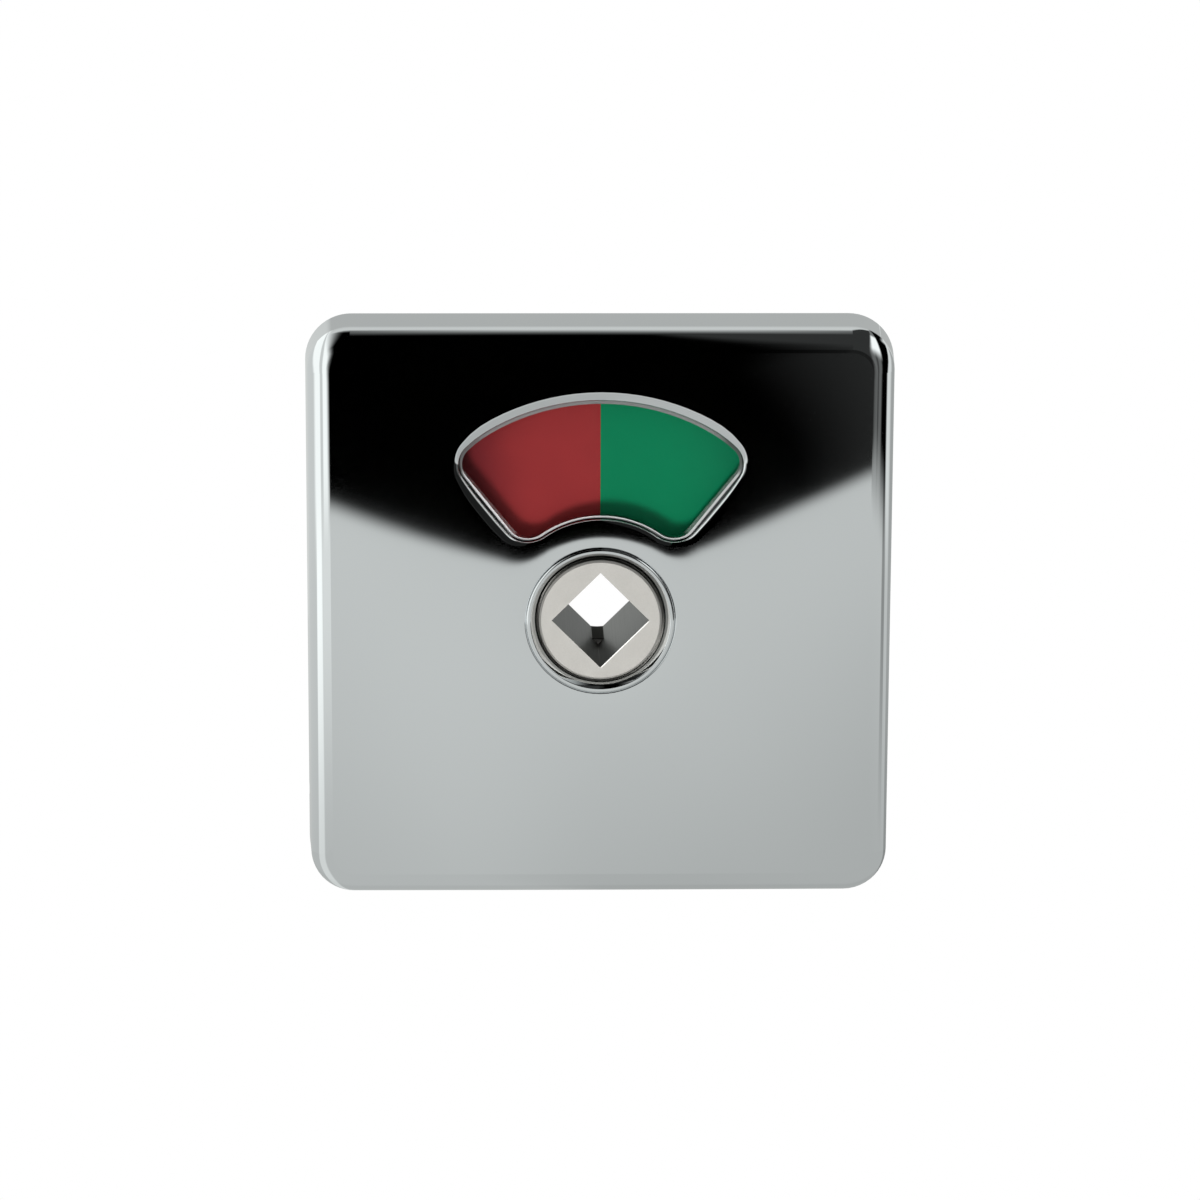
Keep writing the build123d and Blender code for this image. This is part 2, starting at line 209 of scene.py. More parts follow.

# %% [markdown]
# The hub is satin nickel. Its face is turned and then blasted, so it is pale and finely grained, and
# it scatters light more than it mirrors. The square hole is broached: its walls carry fine lines along
# the hole, and their colour is painted dark as shade, because they mostly see each other. Three small
# marks of painted light and shade go on as masks: the lower corner is painted lighter as a painted
# highlight, its far end, where the pilot bore has cut it away, is painted near black as painted shade,
# and a bright line runs along one lower edge of the hole as a painted highlight.

# %% Satin nickel
GRAIN = 5200.0
BROACHED = (GRAIN, 60.0, GRAIN)
# Where the painted shade lies, in the far end of the hole's lower corner.
PILOT_SHADE_STARTS = 2.5 * MM
PILOT_SHADE_HALF = 0.7 * MM
PILOT_SHADE_LOW, PILOT_SHADE_HIGH = -5.2 * MM, -4.0 * MM
LIT_CORNER_LOW, LIT_CORNER_HIGH = -5.6 * MM, -5.0 * MM
# Where the painted highlight runs along one lower edge of the hole.
EDGE_HIGHLIGHT = 5.9 * MM
EDGE_HIGHLIGHT_HALF = 0.08 * MM
FINE = 0.03 * MM


def satin_recipe(tree, place):
    facing = tree.axes(tree.add("ShaderNodeTexCoord", output=OBJECT_NORMAL))[1].maths("ABSOLUTE")
    face = facing.rise(0.55, 0.8)
    grain = tree.noise(place, GRAIN)
    cloud = tree.noise(place, 420.0)
    broach = tree.noise(tree.stretch(place, BROACHED), 1.0)
    x, y, z = tree.axes(place)
    aside = x.maths("ABSOLUTE")
    # Painted shade: a near-black mark at the far end of the hole's lower corner, where the cut of the pilot
    # bore lies in shade.
    pilot_shade = y.rise(PILOT_SHADE_STARTS - 0.1 * MM, PILOT_SHADE_STARTS + 0.1 * MM)
    pilot_shade = pilot_shade * (1 - aside.rise(PILOT_SHADE_HALF - 0.02 * MM, PILOT_SHADE_HALF + 0.02 * MM))
    pilot_shade = pilot_shade * z.between(PILOT_SHADE_LOW, PILOT_SHADE_HIGH, 0.1 * MM)
    # Painted highlight: the lower corner of the hole is painted lighter.
    corner = (1 - aside.rise(0.02 * MM, 0.1 * MM)) * (1 - z.rise(LIT_CORNER_LOW, LIT_CORNER_HIGH)) * 0.5
    # Painted shade: the broached walls get a dark colour, as they lie in shade inside the hole.
    wall = tree.mix(broach, (0.055, 0.056, 0.050, 1), (0.12, 0.122, 0.112, 1))
    wall = tree.mix(corner, wall, (0.20, 0.20, 0.18, 1))
    pale = tree.mix(grain * 0.5 + cloud * 0.5, (0.35, 0.34, 0.317, 1), (0.47, 0.46, 0.432, 1))
    # Painted highlight: a bright line along one lower edge of the hole.
    edge_highlight = (x - z).between(EDGE_HIGHLIGHT - EDGE_HIGHLIGHT_HALF, EDGE_HIGHLIGHT + EDGE_HIGHLIGHT_HALF, FINE)
    edge_highlight = edge_highlight * (1 - (x + z).maths("ABSOLUTE").rise(5.2 * MM, 6.0 * MM))
    edge_highlight = edge_highlight * (1 - y.rise(-6.0 * MM, -4.0 * MM))
    pale = tree.mix(edge_highlight, pale, (0.95, 0.95, 0.92, 1))
    colour = tree.mix(pilot_shade, tree.mix(face, wall, pale), (0.012, 0.012, 0.009, 1))
    return {"Base Color": colour,
            "Metallic": (0.9 - face * 0.65) * (1 - pilot_shade),
            "Roughness": 0.30 + face * 0.16 + grain * 0.06 + pilot_shade * 0.6,
            "Normal": bump(tree, grain * face + broach * (1 - face), 0.35, 0.02 * MM)}


satin_nickel = finish("satin_nickel", satin_recipe)
print("made", satin_nickel.name)

# %% [markdown]
# The two colours are printed foils laid in the dial. Under the window they look slightly mottled, and
# they are painted darker towards the outer ends of the window, as painted shade.

# %% Printed foils
SHADE_FROM, SHADE_DARKEST_AT = 8.0 * MM, 17.5 * MM
PRINT_RELIEF = 0.01 * MM


def foil_recipe(pale, deep):
    def recipe(tree, place):
        speck = tree.noise(place, 2600.0)
        cloud = tree.noise(place, 160.0)
        across = tree.axes(place)[0].maths("ABSOLUTE")
        # Painted shade: the foil is darker towards the outer ends of the window, with a little random mottle
        # on top.
        depth = across.rise(SHADE_FROM, SHADE_DARKEST_AT) * 0.85 + cloud.rise(0.3, 0.7) * 0.12
        return {"Base Color": tree.mix(depth, pale, deep),
                "Roughness": 0.38 + speck * 0.1,
                "Normal": bump(tree, speck, 0.15, PRINT_RELIEF)}
    return recipe


FOIL_GLOSS = {"Specular IOR Level": 0.15}
RED, SHADED_RED = (0.235, 0.024, 0.025, 1), (0.085, 0.009, 0.013, 1)
GREEN, SHADED_GREEN = (0.0015, 0.157, 0.066, 1), (0.0015, 0.138, 0.060, 1)
red_foil = finish("red_foil", foil_recipe(RED, SHADED_RED), **FOIL_GLOSS)
green_foil = finish("green_foil", foil_recipe(GREEN, SHADED_GREEN), **FOIL_GLOSS)
print("made", red_foil.name, "and", green_foil.name)

# %% [markdown]
# The window is clear moulded plastic. A real refracting shader would shut the light out of the dial
# behind it, so the lens is a clear surface with a gloss on it: the Fresnel node shows the gloss more at
# a slant, as plastic does. The moulded walls are tinted dark, as painted shade along the edges of the
# window. The bevel round the front is a little milky, and milkier still along its lower side, where the
# light meets it, as a painted highlight.

# %% Clear lens
PLASTIC_IOR = 1.58
MILKY = 0.14
# How much milkier the lower side of the bevel is, as a painted highlight.
LOWER_HIGHLIGHT = 0.45


def make_clear_lens():
    material = bpy.data.materials.new("clear_lens")
    material.use_nodes = True
    tree = Tree(material.node_tree)
    _, forward, upward = tree.axes(tree.add("ShaderNodeTexCoord", output=OBJECT_NORMAL))
    facing = forward.maths("ABSOLUTE")
    wall = 1 - facing.rise(0.75, 0.95)
    bevel = facing.between(0.45, 0.9, 0.05)
    lower = 1 - upward.rise(-0.45, -0.15)
    # Painted shade: the walls of the plug are tinted dark, which darkens the dial along the edges of the
    # window.
    clear = tree.add("ShaderNodeBsdfTransparent", {}, {"Color": tree.mix(wall, grey(0.97), grey(0.30))})
    gloss = tree.add("ShaderNodeBsdfGlossy", {}, {"Color": grey(0.95), "Roughness": 0.03})
    milky = tree.add("ShaderNodeBsdfDiffuse", {}, {"Color": grey(0.75)})
    shine = tree.add("ShaderNodeFresnel", {}, {"IOR": PLASTIC_IOR})
    both = tree.add("ShaderNodeMixShader", {}, {0: shine * 0.35, 1: clear, 2: gloss})
    # Painted highlight: the bevel is milkier along its lower side, where the light meets it.
    both = tree.add("ShaderNodeMixShader", {}, {0: bevel * (MILKY + LOWER_HIGHLIGHT * lower), 1: both, 2: milky})
    tree.add("ShaderNodeOutputMaterial", {}, {"Surface": both})
    return material


clear_lens = make_clear_lens()
print("made", clear_lens.name)

# %% [markdown]
# The metals and plastics behind the cover are plainer. Zinc plating has a fine crystalline grain,
# spring steel is blued, brass is turned and so carries rings round its axis, and moulded plastic is
# faintly uneven.

# %% Finishes behind the cover
RELIEF = 0.01 * MM
TURNED = (90.0, 7000.0, 90.0)


def grained(dark, light, size, rough):
    """A recipe for a grain of this size, between two colours."""
    def recipe(tree, place):
        grain = tree.noise(place, 1 / size, 3.0)
        cloud = tree.noise(place, 0.12 / size)
        return {"Base Color": tree.mix(grain * 0.5 + cloud * 0.5, (*dark, 1), (*light, 1)),
                "Roughness": rough + grain * 0.12,
                "Normal": bump(tree, grain, 0.3, RELIEF)}
    return recipe


def turned(dark, light, rough):
    """A recipe for the rings that a lathe leaves."""
    def recipe(tree, place):
        rings = tree.noise(tree.stretch(place, TURNED), 1.0)
        return {"Base Color": tree.mix(rings, (*dark, 1), (*light, 1)),
                "Roughness": rough + rings * 0.12,
                "Normal": bump(tree, rings, 0.25, RELIEF)}
    return recipe


METAL = {"Metallic": 0.9}
zinc_plate = finish("zinc_plate", grained((0.64, 0.66, 0.68), (0.84, 0.85, 0.87), 0.9 * MM, 0.26), **METAL)
zinc_screw = finish("zinc_screw", grained((0.68, 0.69, 0.71), (0.86, 0.87, 0.88), 0.4 * MM, 0.22), **METAL)
spring_steel = finish("spring_steel", grained((0.10, 0.10, 0.12), (0.20, 0.20, 0.22), 0.6 * MM, 0.30),
                      **METAL)
nylon = finish("nylon", grained((0.74, 0.73, 0.68), (0.82, 0.81, 0.76), 0.8 * MM, 0.45))
dial_plastic = finish("dial_plastic", grained((0.66, 0.66, 0.64), (0.74, 0.74, 0.72), 0.7 * MM, 0.48))
pillar_brass = finish("pillar_brass", turned((0.50, 0.34, 0.12), (0.72, 0.53, 0.24), 0.24), Metallic=1.0)
print("made", len(bpy.data.materials), "finishes in all")

# %% [markdown]
# Each piece of the CAD model takes one finish. The cover, its ring, the lens and the screws are made
# again further down, and get theirs there as well.

# %% Which piece has which finish
FINISH_OF = {
    "bezel": chrome, "lens": clear_lens, "lens_washers": spring_steel, "back_plate": zinc_plate,
    "back_plate_screws": zinc_screw, "hub_bush": nylon, "face_washer": nylon,
    "fixing_pillar_left": pillar_brass, "fixing_pillar_right": pillar_brass,
    "stop_pin_left": zinc_screw, "stop_pin_right": zinc_screw, "release_hub": satin_nickel,
    "dial": dial_plastic, "dial_retainer": spring_steel, "red_sector": red_foil,
    "green_sector": green_foil, "thrust_washer": zinc_screw, "friction_spring": spring_steel,
    "retaining_clip": spring_steel, "cover": chrome,
}
for name, material in FINISH_OF.items():
    for slot in node[name].material_slots:
        slot.material = material
print("finished", len(FINISH_OF), "pieces")

# %% [markdown]
# A mirror shows what a ruler can't. The polished front isn't quite flat: its middle is hollow by less than
# a tenth of a millimetre, its top corners stand forward and its lower ones back, and it sinks a
# hundredth towards the bezel and the window, where the casting was pressed and buffed. That bends the
# straight edge of the mirrored table into a wave. `proud` is that shape as a formula: how far the front
# stands out of the flat plane. The window's outline, two arcs round the hub and two straight sides, is
# given here as a distance, which the sink needs.

# %% The shape of the polished front
HOLLOW = 0.082 * MM
HOLLOW_HALF = 34.0 * MM
LEAN = 0.00044
TWIST = 0.051
SADDLE = 7.5
HUB_DISH = 0.011 * MM
HUB_DISH_REACH = 2.1 * MM
WINDOW_SINK = 0.010 * MM
WINDOW_SINK_REACH = 2.8 * MM

WINDOW_OUTER = 25.6 * MM
WINDOW_INNER = 12.0 * MM
WINDOW_HALF = radians(39.0)
WINDOW_SIDE = 1.7 * MM
WINDOW_CORNER = 2.0 * MM


def window_distance(x, up):
    """How far points of the front lie outside the window."""
    radius = np.hypot(x, up)
    side = np.abs(x) * cos(WINDOW_HALF) - up * sin(WINDOW_HALF) - WINDOW_SIDE
    across = np.maximum(radius - WINDOW_OUTER, WINDOW_INNER - radius)
    rounded_off = np.hypot(np.maximum(across + WINDOW_CORNER, 0), np.maximum(side + WINDOW_CORNER, 0))
    return np.maximum(rounded_off - WINDOW_CORNER, 0)


def proud(x, z):
    """How far points of the polished front stand out of the flat plane."""
    up = z - cover_middle
    hollow = HOLLOW * (1 - np.cos(pi * x / 2 / HOLLOW_HALF) * np.cos(pi * up / 2 / HOLLOW_HALF))
    warp = up * (LEAN + TWIST * x + SADDLE * x * x)
    from_bezel = np.maximum(np.hypot(x, z) - bezel_radius, 0)
    dish = HUB_DISH * np.exp(-from_bezel / HUB_DISH_REACH)
    sink = WINDOW_SINK * np.exp(-window_distance(x, up) / WINDOW_SINK_REACH)
    return hollow + warp - dish - sink


SLOPE_STEP = 0.02 * MM


def slope(x, z):
    """How fast proud() grows along x and along z."""
    along_x = proud(x + SLOPE_STEP, z) - proud(x - SLOPE_STEP, z)
    along_z = proud(x, z + SLOPE_STEP) - proud(x, z - SLOPE_STEP)
    return along_x / (2 * SLOPE_STEP), along_z / (2 * SLOPE_STEP)


corner = np.array([0.9 * cover_half])
print("a top corner stands", round(proud(corner, corner)[0] / MM, 3), "mm proud")

# %% [markdown]
# The CAD cover has one huge flat face, which can't bend. So a copy of it is cut along a grid: each
# line of the grid is a plane that cuts only the faces it crosses, and only those near the front. The
# exact normals of the CAD shape go along in an attribute of the mesh, as a mirror needs them later.

# %% Cut a copy of the cover along a grid
GRID = 1.5 * MM
MERGE = 0.001 * MM
FADE_FROM = -5.0 * MM

shape = bmesh.new()
source = node["cover"].data.copy()
exact = np.empty(len(source.loops) * 3)
source.corner_normals.foreach_get("vector", exact)
source.attributes.new("exact_normal", "FLOAT_VECTOR", "CORNER").data.foreach_set("vector", exact)
shape.from_mesh(source)
bmesh.ops.remove_doubles(shape, verts=shape.verts, dist=MERGE / 10)

grid_steps = int(cover_half / GRID)
for axis, middle in ((0, 0.0), (2, cover_middle)):
    for step in range(-grid_steps, grid_steps + 1):
        place = middle + step * GRID
        crossed = [f for f in shape.faces if min(v.co.y for v in f.verts) < FADE_FROM
                   and min(v.co[axis] for v in f.verts) < place < max(v.co[axis] for v in f.verts)]
        around = {e for f in crossed for e in f.edges} | {v for f in crossed for v in f.verts}
        at = Vector([place if k == axis else 0.0 for k in range(3)])
        across = Vector([1.0 if k == axis else 0.0 for k in range(3)])
        bmesh.ops.bisect_plane(shape, geom=crossed + list(around), plane_co=at, plane_no=across,
                               dist=MERGE)
print("cut copy has", len(shape.faces), "faces")

# %% [markdown]
# The flat face and the rolled edge of the window come out, to be made again, finer. What stays open is
# a row of edges round the window, 1.8 mm behind the front, and another round the seat of the ring. The
# grid left a few points of the window's row almost on top of each other. Those are welded first,
# because a doubled point leaves a slit that a mirror shows as a dark tick.

# %% Take out the flat and the rolled edge
WINDOW_ROLL = 1.8 * MM
ROLL_MARGIN = 0.1 * MM
SEAM = 0.02 * MM
SEAT_REACH = 10.0 * MM


def on_front(vertices):
    return max(v.co.y for v in vertices) < front + MERGE


def on_roll(face):
    x, _, z = face.calc_center_median()
    deep = max(v.co.y for v in face.verts) < front + WINDOW_ROLL + MERGE
    return deep and window_distance(x, z - cover_middle) < WINDOW_ROLL + ROLL_MARGIN


worn = [f for f in shape.faces if on_front(f.verts) or on_roll(f)]
bmesh.ops.delete(shape, geom=worn, context="FACES")


def open_loop(depth, reach):
    """The corners of the open edge at this depth behind the front, in order."""
    beside = {}
    for edge in shape.edges:
        first, second = edge.verts
        flat = all(abs(v.co.y - front - depth) < 2 * MERGE for v in edge.verts)
        if len(edge.link_faces) == 1 and flat and np.hypot(first.co.x, first.co.z) < reach:
            beside.setdefault(first, []).append(second)
            beside.setdefault(second, []).append(first)
    corners = [next(iter(beside))]
    corners.append(beside[corners[0]][0])
    while True:
        a, b = beside[corners[-1]]
        following = b if a is corners[-2] else a
        if following is corners[0]:
            return corners
        corners.append(following)


bmesh.ops.remove_doubles(shape, verts=open_loop(WINDOW_ROLL, cover_half), dist=SEAM)
window_loop = open_loop(WINDOW_ROLL, cover_half)
bezel_loop = open_loop(0.0, SEAT_REACH)
print("open loops of", len(window_loop), "and", len(bezel_loop), "corners")

# %% [markdown]
# A rounded edge that follows an outline is a profile swept round it. Each step of a profile says how
# far out it is, how far behind the front, and how its surface leans: 0 faces the front and 90 faces
# inwards. The lean gives the exact normal there, which a mirror needs more than many faces.

# %% Sweep a profile round a loop
exact_normal = shape.loops.layers.float_vector["exact_normal"]


def sweep(shape, layer, middles, outwards, profile, ring=None, shares=None):
    """Faces along a profile, round a closed row of points.

    Each point's steps go out by its own share. Corners that exist already are given as the first ring.
    """
    count = len(outwards)
    shares = shares or [1.0] * count
    rings = {}
    spot = None
    if ring:
        rings[profile[0][:2]] = ring
    for out, depth, lean in profile:
        turn = radians(lean)
        normals = [Vector((-o.x * sin(turn), -cos(turn), -o.z * sin(turn))) for o in outwards]
        if (out, depth) not in rings:
            rings[out, depth] = [
                shape.verts.new((m.x + o.x * out * s, front + depth, m.z + o.z * out * s))
                for m, o, s in zip(middles, outwards, shares)]
        made = rings[out, depth]
        if spot and spot != (out, depth):
            for k in range(count):
                n = (k + 1) % count
                aims = {ring[k]: before[k], ring[n]: before[n], made[n]: normals[n], made[k]: normals[k]}
                face = shape.faces.new(aims)
                face.normal_update()
                if face.normal.dot(sum(aims.values(), Vector())) < 0:
                    face.normal_flip()
                for loop in face.loops:
                    loop[layer] = aims[loop.vert]
        ring, before, spot = made, normals, (out, depth)


def rounded(out, depth, radius, start, end, steps):
    """Profile steps of a round edge. It starts at (out, depth), leaning by start."""
    leans = [start + (end - start) * k / steps for k in range(steps + 1)]
    return [(out - radius * (sin(radians(lean)) - sin(radians(start))),
             depth - radius * (cos(radians(lean)) - cos(radians(start))), lean) for lean in leans]


# %% [markdown]
# Round the window the casting is dished, by a few degrees over about a millimetre, and then turns in
# with a small round edge. The dish is what shows as a bright rim above the window, because it leans
# down to the table. Round the hub is a shallow seat with a rounded edge, and the ring lies in it.

# %% The edges of the window and of the seat
QUARTER = 90.0
ROUND_STEPS = 8
OPENING = 0.6 * MM
EDGE_ROUND = 0.28 * MM
DISH_REACH = 1.7 * MM
DISH_LEAN = 9.0
DISH_STEPS = 8
WINDOW_TIP = (17.4 * MM, 18.8 * MM)
TIP_KEPT = 0.55
TIP_REACH = 3.0 * MM
FOOT_KEPT = 0.6
FOOT_REACH = 2.2 * MM
RING_RADIUS = 8.78 * MM
SEAT_DEPTH = 0.20 * MM
SEAT_GAP = 0.05 * MM

rim_at = OPENING + EDGE_ROUND * (1 - sin(radians(DISH_LEAN)))
dish_length = DISH_REACH - rim_at
dish_depth = dish_length * np.tan(radians(DISH_LEAN)) / 2
dish = []
for step in range(DISH_STEPS + 1):
    share = step / DISH_STEPS
    lean = DISH_LEAN * (1 - share)
    dish.append((rim_at + share * dish_length, dish_depth * (1 - share) ** 2, lean))
turned_in = rounded(rim_at, dish_depth, EDGE_ROUND, DISH_LEAN, QUARTER, ROUND_STEPS)[::-1]
window_profile = [(0.0, WINDOW_ROLL, 0.0), (OPENING, WINDOW_ROLL, 0.0), (OPENING, WINDOW_ROLL, QUARTER)]
window_profile += turned_in[:-1] + dish


def outward(corner):
    """Away from the hole, square to its wall."""
    normal = sum((loop[exact_normal] for loop in corner.link_loops), Vector())
    return -Vector((normal.x, 0, normal.z)).normalized()


def widened(x, z):
    """How much of the widening a point of the window's edge gets: less at the tips and the foot."""
    up = z - cover_middle
    from_tip = np.hypot(abs(x) - WINDOW_TIP[0], up - WINDOW_TIP[1])
    from_foot = max(np.hypot(x, up) - WINDOW_INNER, 0.0)
    kept_at_tip = TIP_KEPT * np.exp(-(from_tip / TIP_REACH) ** 2)
    kept_at_foot = FOOT_KEPT * np.exp(-(from_foot / FOOT_REACH) ** 2)
    return 1 - kept_at_tip - kept_at_foot


window_ways = [outward(v) for v in window_loop]
window_shares = [widened(v.co.x, v.co.z) for v in window_loop]
sweep(shape, exact_normal, [v.co.copy() for v in window_loop], window_ways, window_profile, window_loop,
      window_shares)

seat_radius = RING_RADIUS + SEAT_GAP
seat_edge = rounded(seat_radius + SEAT_DEPTH, 0.0, SEAT_DEPTH, 0.0, QUARTER, ROUND_STEPS)[::-1]
hole_radius = np.mean([np.hypot(v.co.x, v.co.z) for v in bezel_loop])
axis_points = [Vector((0, 0, 0))] * len(bezel_loop)
hub_ways = [Vector((v.co.x, 0, v.co.z)).normalized() for v in bezel_loop]
for v in bezel_loop:
    v.co.y = front + SEAT_DEPTH
seat_profile = [(hole_radius, SEAT_DEPTH, 0.0), (seat_radius, SEAT_DEPTH, 0.0)] + seat_edge
sweep(shape, exact_normal, axis_points, hub_ways, seat_profile, bezel_loop)
print("dish is", round(dish_depth / MM, 3), "mm deep, seat radius", round(seat_radius / MM, 2), "mm")

# %% [markdown]
# The flat front is filled with small triangles between its outline, the window's dish and the seat. A
# Delaunay triangulation makes them from points on a fine grid, and keeps the outlines as given edges.
# It fills the holes too, so each triangle is kept only where `inside` counts an odd number of
# crossings between its middle and the far right.

# %% Fill the flat front with small triangles
FILL = 0.6 * MM
ROOM = 0.5 * FILL


def inside(spots, starts, ends):
    """Which spots an outline of many short lines encloses, holes left out."""
    x, z = spots[:, 0, None], spots[:, 1, None]
    crosses = (starts[:, 1] > z) != (ends[:, 1] > z)
    rise = np.where(crosses, ends[:, 1] - starts[:, 1], 1.0)
    at = starts[:, 0] + (z - starts[:, 1]) * (ends[:, 0] - starts[:, 0]) / rise
    return (crosses & (x < at)).sum(axis=1) % 2 == 1


rim = [e for e in shape.edges if len(e.link_faces) == 1 and on_front(e.verts)]
corners = list({v for e in rim for v in e.verts})
number = {v: i for i, v in enumerate(corners)}
lines = [(number[e.verts[0]], number[e.verts[1]]) for e in rim]
known = np.array([(v.co.x, v.co.z) for v in corners])
starts, ends = (known[[line[side] for line in lines]] for side in (0, 1))

steps = int(cover_half / FILL)
spots = np.array([(i * FILL, cover_middle + k * FILL) for i in range(-steps, steps + 1)
                  for k in range(-steps, steps + 1)])
spots = spots[inside(spots, starts, ends)]
room = np.array([np.hypot(known[:, 0] - x, known[:, 1] - z).min() for x, z in spots])
spots = spots[room > ROOM]

points = [Vector(p) for p in (*known, *spots)]
found, _, triangles, origin, _, _ = delaunay_2d_cdt(points, lines, [], 0, MERGE / 100)
flat = np.array(found)
made = [corners[origin[i][0]] if origin[i][0] < len(corners) else shape.verts.new((p.x, front, p.y))
        for i, p in enumerate(found)]
middles = np.array([flat[list(t)].mean(axis=0) for t in triangles])
for triangle, kept in zip(triangles, inside(middles, starts, ends)):
    if kept:
        face = shape.faces.new([made[i] for i in triangle])
        face.normal_update()
        if face.normal.y > 0:
            face.normal_flip()
        for loop in face.loops:
            loop[exact_normal] = (0, -1, 0)
bmesh.ops.triangulate(shape, faces=[f for f in shape.faces if len(f.verts) > 4])
print("front filled, open edges", sum(len(e.link_faces) != 2 for e in shape.edges))

# %% [markdown]
# Each point then moves by the formula, less and less towards the rim. A mirror shows a mesh's normals
# rather than its points, so the exact normals of the CAD shape were kept in an attribute, and are
# turned here as the formula turns the surface.

# %% Bend the front and turn its normals
skin_mesh = bpy.data.meshes.new("cover_skin")
shape.to_mesh(skin_mesh)
shape.free()

places = np.empty(len(skin_mesh.vertices) * 3)
skin_mesh.vertices.foreach_get("co", places)
places = places.reshape(-1, 3)
share = np.clip((places[:, 1] - FADE_FROM) / (front - FADE_FROM), 0, 1)
fade = share * share * (3 - 2 * share)
fade_slope = 6 * share * (1 - share) / (front - FADE_FROM)
height = proud(places[:, 0], places[:, 2])
along_x, along_z = slope(places[:, 0], places[:, 2])

normals = np.empty(len(skin_mesh.loops) * 3)
skin_mesh.attributes["exact_normal"].data.foreach_get("vector", normals)
normals = normals.reshape(-1, 3)
owner = np.empty(len(skin_mesh.loops), int)
skin_mesh.loops.foreach_get("vertex_index", owner)
normals[:, 1] /= (1 - height * fade_slope)[owner]
normals[:, 0] += (fade * along_x)[owner] * normals[:, 1]
normals[:, 2] += (fade * along_z)[owner] * normals[:, 1]
normals /= np.linalg.norm(normals, axis=1)[:, None]

places[:, 1] -= height * fade
skin_mesh.vertices.foreach_set("co", places.ravel())
skin_mesh.attributes.remove(skin_mesh.attributes["exact_normal"])
skin_mesh.polygons.foreach_set("use_smooth", [True] * len(skin_mesh.polygons))
skin_mesh.update()
skin_mesh.normals_split_custom_set(normals.tolist())
skin_mesh.materials.clear()
skin_mesh.materials.append(chrome)

cover_skin = bpy.data.objects.new("cover_skin", skin_mesh)
bpy.context.scene.collection.objects.link(cover_skin)
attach(cover_skin, "housing")
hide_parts("cover")
print("cover_skin has", len(skin_mesh.polygons), "faces")

# %% [markdown]
# The window opens a little wider than the CAD one, so the lens's plug widens with it. Only its front
# moves outwards, square to its wall, and its flange stays where the washers hold it. Its normals are
# worked out afresh, because the kept ones belong to the points before the move.

# %% Lens
PLUG_FRONT = 1.5 * MM
WALL_BELOW = 0.9
SHARP_FROM = 25.0

shape = bmesh.new()
shape.from_mesh(node["lens"].data)
bmesh.ops.remove_doubles(shape, verts=shape.verts, dist=MERGE / 10)
shape.normal_update()
moves = {}
for v in shape.verts:
    if v.co.y < front + PLUG_FRONT:
        walls = [f for f in v.link_faces if abs(f.normal.y) < WALL_BELOW]
        side = sum((f.normal * f.calc_area() for f in walls), Vector())
        side.y = 0
        if side.length > 0:
            moves[v] = side.normalized() * OPENING * widened(v.co.x, v.co.z)
for v, move in moves.items():
    v.co += move
lens_mesh = bpy.data.meshes.new("lens_clear")
shape.to_mesh(lens_mesh)
shape.free()
if lens_mesh.has_custom_normals:
    lens_mesh.attributes.remove(lens_mesh.attributes["custom_normal"])
lens_mesh.set_sharp_from_angle(angle=radians(SHARP_FROM))
lens_mesh.polygons.foreach_set("use_smooth", [True] * len(lens_mesh.polygons))
lens_mesh.materials.clear()
lens_mesh.materials.append(clear_lens)
lens_clear = bpy.data.objects.new("lens_clear", lens_mesh)
bpy.context.scene.collection.objects.link(lens_clear)
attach(lens_clear, "housing")
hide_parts("lens")
print("moved", len(moves), "of", len(lens_mesh.vertices), "points of the lens")

# %% [markdown]
# The ring round the hub is turned and chromed. Its section is a profile too: a small round outside, a
# narrow land and a cone down to the hub, then the bore and the sleeve that is pressed into the cover.

# %% Ring round the hub
RING_STEPS = 180
RING_PROUD = 0.32 * MM
OUTER_ROUND = 0.20 * MM
LAND_LEAN = 0.4
CONE_LEAN = 52.0
CONE_ROUND = 0.10 * MM
CONE_WIDTH = 0.75 * MM
BORE_RADIUS = 7.6 * MM
SLEEVE_GAP = 0.01 * MM
BACKWARDS = 180.0
ring_back = bezel_high.y - front
sleeve_radius = hole_radius - SLEEVE_GAP

cone_top = rounded(BORE_RADIUS + CONE_WIDTH, -RING_PROUD, CONE_ROUND, LAND_LEAN, CONE_LEAN, 5)
foot_width = CONE_ROUND * (1 - sin(radians(CONE_LEAN)))
cone_drop = (cone_top[-1][0] - BORE_RADIUS - foot_width) * np.tan(radians(CONE_LEAN))
cone_end = cone_top[-1][1] + cone_drop
cone_foot = rounded(BORE_RADIUS + foot_width, cone_end, CONE_ROUND, CONE_LEAN, QUARTER, 4)
outer_edge = rounded(RING_RADIUS - OUTER_ROUND, -RING_PROUD, OUTER_ROUND, LAND_LEAN, -QUARTER, ROUND_STEPS)
ring_profile = [(sleeve_radius, ring_back, -QUARTER), (sleeve_radius, SEAT_DEPTH, -QUARTER),
                (sleeve_radius, SEAT_DEPTH, BACKWARDS), (RING_RADIUS, SEAT_DEPTH, BACKWARDS),
                (RING_RADIUS, SEAT_DEPTH, -QUARTER)]
ring_profile += outer_edge[::-1] + cone_top + cone_foot
ring_profile += [(BORE_RADIUS, ring_back, QUARTER), (BORE_RADIUS, ring_back, BACKWARDS),
                 (sleeve_radius, ring_back, BACKWARDS)]

